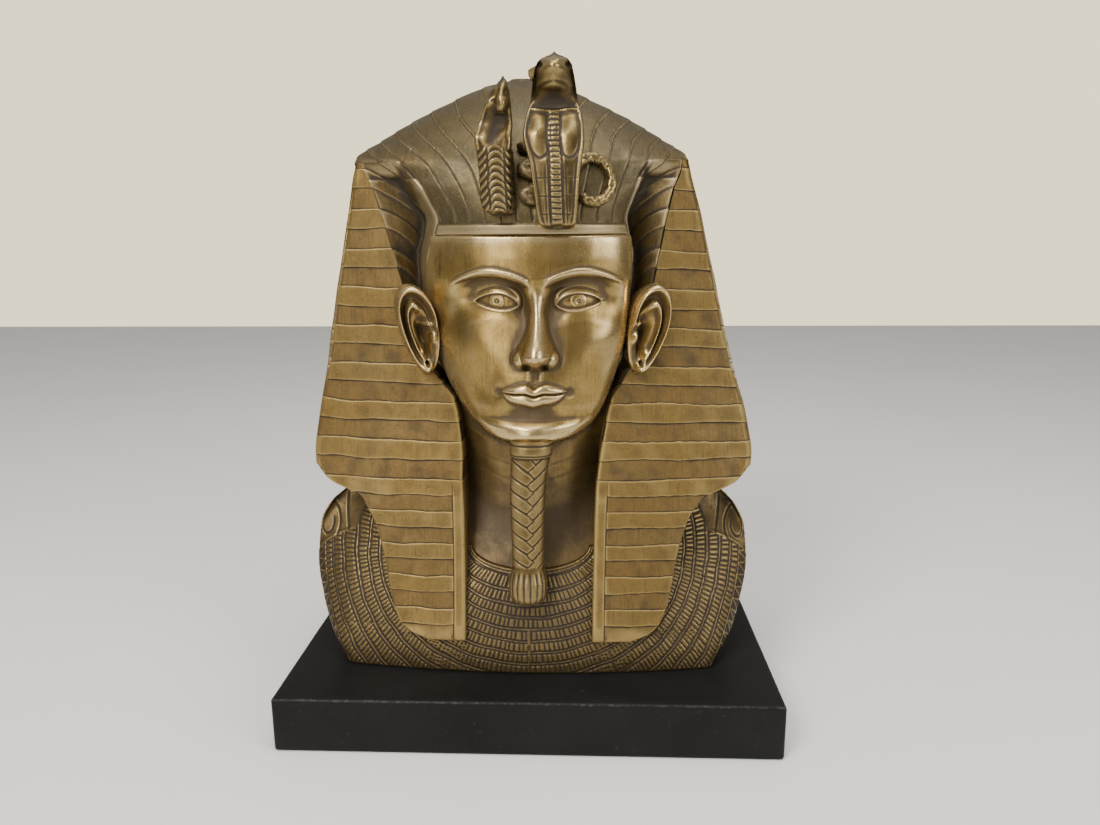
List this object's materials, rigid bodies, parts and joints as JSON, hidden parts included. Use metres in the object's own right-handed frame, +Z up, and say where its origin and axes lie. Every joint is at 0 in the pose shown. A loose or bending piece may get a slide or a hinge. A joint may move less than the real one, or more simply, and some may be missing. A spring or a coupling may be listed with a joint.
{
  "type": "pharaoh bust sculpture",
  "caption": "Cast bust of a king in a pleated headcloth with cobra and vulture, plaited beard and bead collar, on a rectangular plinth.",
  "frame": {"origin": "centre of the plinth's underside", "axes": "+Z up, the bust faces -Y, +X to the viewer's right"},
  "size_m": [0.395, 0.28, 0.5193],
  "materials": {
    "antiqued_bronze": "cast bronze with a dull olive-gold patina, dark in its hollows and rubbed bright on its edges",
    "black_painted_wood": "satin black paint over wood, lightly scuffed along its edges"
  },
  "bodies": {
    "root": {"bust": "antiqued_bronze", "plinth": "black_painted_wood"}
  },
  "joints": []
}
